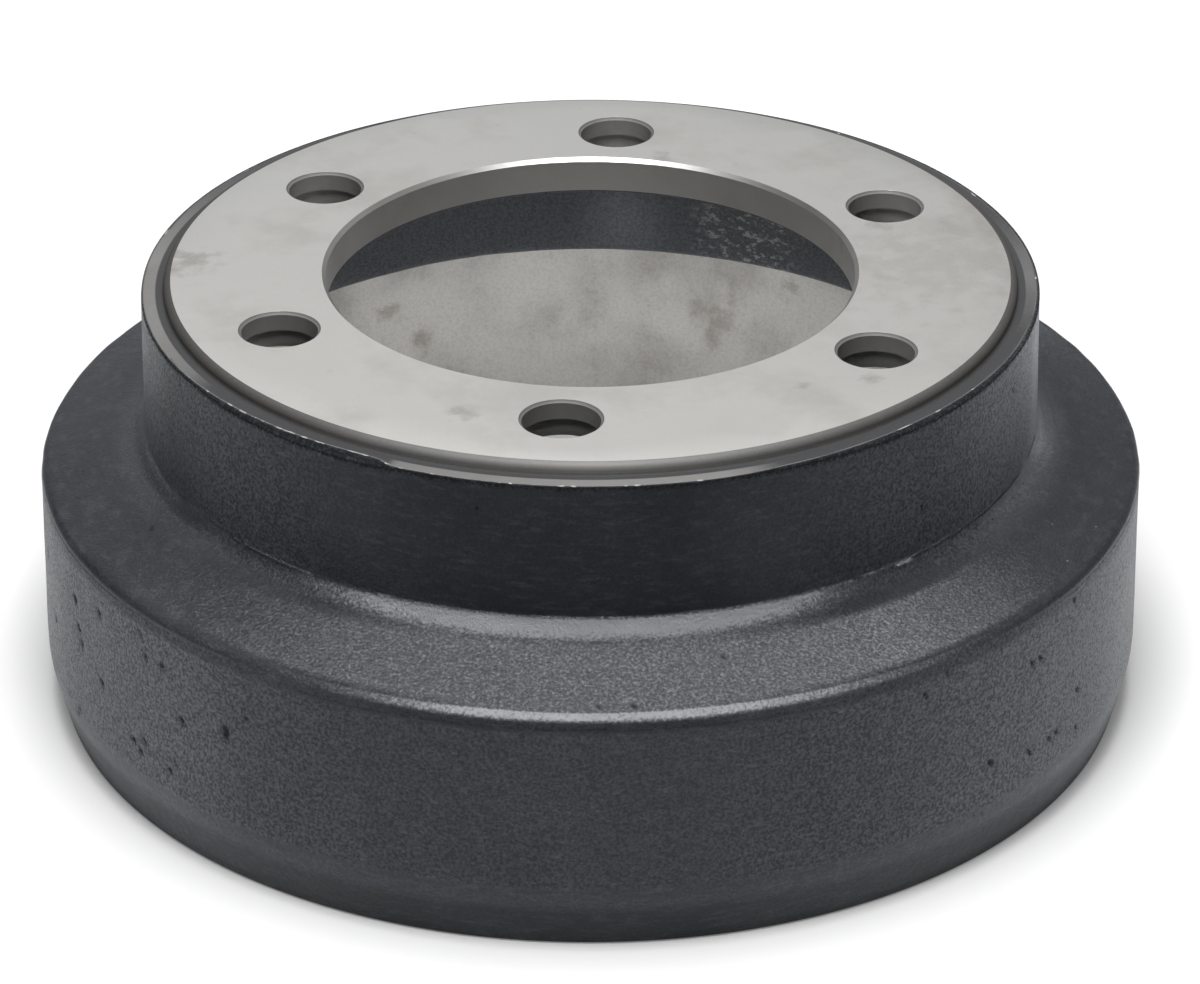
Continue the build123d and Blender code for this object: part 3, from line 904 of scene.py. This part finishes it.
def iron_finish(f):
    """Coated casting and bare turned metal in one material, told apart by the mesh's marks, with
    bright chips along the border between them. A dark matt shader is mixed in as painted shade."""
    material = bpy.data.materials.new("cast_iron")
    b = Bench(material)
    iron = Iron(b)
    turned = iron.turned
    coat_tint, coat_roughness, coat_metallic, coat_height, pits_and_painted_shade = cast_coat(b, f, iron)
    metal_tint, metal_roughness, metal_metallic, metal_height = turned_iron(b, f, iron)

    border = b.fade(iron.marks["turned"], 0.02, 0.3) * b.fade(iron.marks["turned"], 1.0, 0.85)
    chips = iron.marks["chips"]
    torn = (b.noise(iron.place, 1.7, 3.0, 0.6) - 0.5) * 1.6
    chip = b.fade(chips * border.at_least(chips - 1) + torn, 0.60, 0.68)

    surface = b.add("ShaderNodeBsdfPrincipled", {}, {
        "Base Color": b.blend(chip, b.blend(turned, coat_tint, metal_tint), f.chip),
        "Roughness": coat_roughness * (1 - turned) + metal_roughness * turned,
        "Metallic": (turned * metal_metallic + (1 - turned) * coat_metallic).at_least(chip),
        "Normal": b.add("ShaderNodeBump", {}, {
            "Strength": 1.0, "Distance": MM,
            "Height": coat_height * (1 - turned) + metal_height * turned - chip * 0.15}),
        "IOR": 1.39, "Specular Tint": (0.90, 0.95, 1.0, 1.0)})
    # Painted shade: a dark matt shader mixed into pits, the line under the shoulder's edge and the
    # unturned strip
    painted_shade_shader = b.add("ShaderNodeBsdfPrincipled", {}, {
        "Base Color": opaque(f.pit), "Roughness": 0.9, "Specular IOR Level": 0.1})
    mixed = b.add("ShaderNodeMixShader", {}, {0: pits_and_painted_shade * (1 - turned) * 0.72, 1: surface, 2: painted_shade_shader})
    b.add("ShaderNodeOutputMaterial", {}, {0: mixed})
    return material


# --- Stage ---

def floor_material(s):
    """Pale matt floor that is open from below. To the camera it is lifted to the background's
    white away from the drum's shadow, and a little more towards the horizon."""
    material = bpy.data.materials.new("studio_floor")
    b = Bench(material)
    seen = b.add("ShaderNodeLightPath", out="Is Camera Ray")
    facing = b.add("ShaderNodeNewGeometry", out="Backfacing")
    matt = b.add("ShaderNodeBsdfDiffuse", {}, {0: opaque(s.floor)})
    away = b.apart(b.add("ShaderNodeTexCoord", out=3), (0, 0, 0))
    far = b.fade(away, 0.25 * s.floor_fade, s.floor_fade)
    horizon = b.fade(away, 1.5 * s.floor_fade, 4.0 * s.floor_fade)
    strength = seen * (s.floor_lift + 0.6 * far + 0.4 * horizon)
    lift = b.add("ShaderNodeEmission", {}, {0: WHITE, 1: strength})
    lifted = b.add("ShaderNodeAddShader", {}, {0: matt, 1: lift})
    clear = b.add("ShaderNodeBsdfTransparent")
    mixed = b.add("ShaderNodeMixShader", {}, {0: facing, 1: lifted, 2: clear})
    b.add("ShaderNodeOutputMaterial", {}, {0: mixed})
    return material


def build_studio_world(s):
    """White to the camera, and a dim room to all else. Reflections also see a pale backdrop
    behind the drum. It is brightest at mid height, open overhead and at the far left, and half
    as bright on the right."""
    world = bpy.data.worlds.new("studio_room")
    b = Bench(world)
    seen, glossy, through = [b.add("ShaderNodeLightPath", out=ray) for ray in (
        "Is Camera Ray", "Is Glossy Ray", "Is Transmission Ray")]
    right, onward, rise = b.split(b.add("ShaderNodeTexCoord", out="Generated"))
    behind = b.fade(onward, 0.10, 0.70)
    by_height = b.fade(rise, 0.95, 0.60) * (0.74 + 0.86 * b.fade(rise, 0.30, 0.62))
    by_side = b.fade(right, -0.80, -0.38) * (b.fade(right, 0.28, -0.16) * 0.50 + 0.50)
    backdrop = glossy.at_least(through) * behind * by_height * by_side * s.backdrop
    strength = seen.at_least(backdrop) + (1 - seen) * s.room
    background = b.add("ShaderNodeBackground", {}, {0: WHITE, 1: strength})
    b.add("ShaderNodeOutputWorld", {}, {0: background})
    return world


def add_softbox(name, place, size, radiance):
    """A rectangular lamp at that place, turned to the drum. Its power is pi times its area times
    its radiance."""
    data = bpy.data.lights.new(name, "AREA")
    data.shape = "RECTANGLE"
    data.size, data.size_y = size
    data.energy = pi * size[0] * size[1] * radiance
    lamp = bpy.data.objects.new(name, data)
    lamp.location = place
    lamp.rotation_euler = (Vector(LAMP_AIM) - Vector(place)).to_track_quat("-Z", "Y").to_euler()
    lamp.visible_camera = False
    bpy.context.scene.collection.objects.link(lamp)


def place_camera(s):
    """Camera beside the drum at its distance and height, turned about the drum's axis."""
    data = bpy.data.cameras.new("studio_camera")
    data.sensor_fit = "HORIZONTAL"
    data.sensor_width = 36.0
    data.lens = s.lens
    camera = bpy.data.objects.new("studio_camera", data)
    turn = s.camera_turn
    camera.location = (s.camera_distance * sin(turn) + s.camera_aside * cos(turn),
                       -s.camera_distance * cos(turn) + s.camera_aside * sin(turn), s.camera_height)
    camera.rotation_euler = (pi / 2 - s.camera_pitch, 0, turn)
    bpy.context.scene.collection.objects.link(camera)
    bpy.context.scene.camera = camera


# --- Operators and panel ---

class BRAKEDRUM_OT_casting(Operator):
    """Make the drum casting with its turned faces"""

    bl_idname = "brakedrum.casting"
    bl_label = "Drum casting"

    def execute(self, context):
        scene = context.scene
        mesh = build_drum_mesh(scene.brakedrum_sizes)
        mesh.materials.append(iron_finish(scene.brakedrum_finish))
        piece = bpy.data.objects.new("drum_casting", mesh)
        scene.collection.objects.link(piece)
        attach(piece, "root")
        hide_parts("brake_drum")
        return {"FINISHED"}


class BRAKEDRUM_OT_stage(Operator):
    """Make the floor, the lamps and the camera"""

    bl_idname = "brakedrum.stage"
    bl_label = "Studio stage"

    def execute(self, context):
        scene = context.scene
        s = scene.brakedrum_studio
        corners = [(x * FLOOR_REACH, y * FLOOR_REACH, FLOOR_LEVEL)
                   for x, y in ((-1, -1), (1, -1), (1, 1), (-1, 1))]
        mesh = bpy.data.meshes.new("studio_floor")
        mesh.from_pydata(corners, [], [(0, 1, 2, 3)])
        mesh.materials.append(floor_material(s))
        floor = bpy.data.objects.new("studio_floor", mesh)
        scene.collection.objects.link(floor)
        scene.world = build_studio_world(s)
        add_softbox("key_softbox", *KEY_SOFTBOX, s.key_lamp)
        add_softbox("long_softbox", *LONG_SOFTBOX, s.top_lamp)
        place_camera(s)
        scene.view_settings.view_transform = "Standard"
        return {"FINISHED"}


class BRAKEDRUM_PT_tools(Panel):
    """Lists what can be made"""

    bl_idname = "BRAKEDRUM_PT_tools"
    bl_label = "Brake drum"
    bl_space_type = "VIEW_3D"
    bl_region_type = "UI"
    bl_category = "Brake drum"

    def draw(self, context):
        for operator in (BRAKEDRUM_OT_casting, BRAKEDRUM_OT_stage):
            self.layout.operator(operator.bl_idname)


CLASSES = (DrumSizes, DrumFinish, StudioSettings, BRAKEDRUM_OT_casting, BRAKEDRUM_OT_stage,
           BRAKEDRUM_PT_tools)
SETTINGS = {"brakedrum_sizes": DrumSizes, "brakedrum_finish": DrumFinish,
            "brakedrum_studio": StudioSettings}


def register():
    """Registers the classes and hangs the settings on the scene."""
    for cls in CLASSES:
        bpy.utils.register_class(cls)
    for name, group in SETTINGS.items():
        setattr(bpy.types.Scene, name, PointerProperty(type=group))


def unregister():
    """Takes the settings and the classes away again."""
    for name in SETTINGS:
        delattr(bpy.types.Scene, name)
    for cls in reversed(CLASSES):
        bpy.utils.unregister_class(cls)


def main():
    """Makes everything in order."""
    register()
    bpy.ops.brakedrum.casting()
    bpy.ops.brakedrum.stage()


if __name__ == "__main__":
    main()
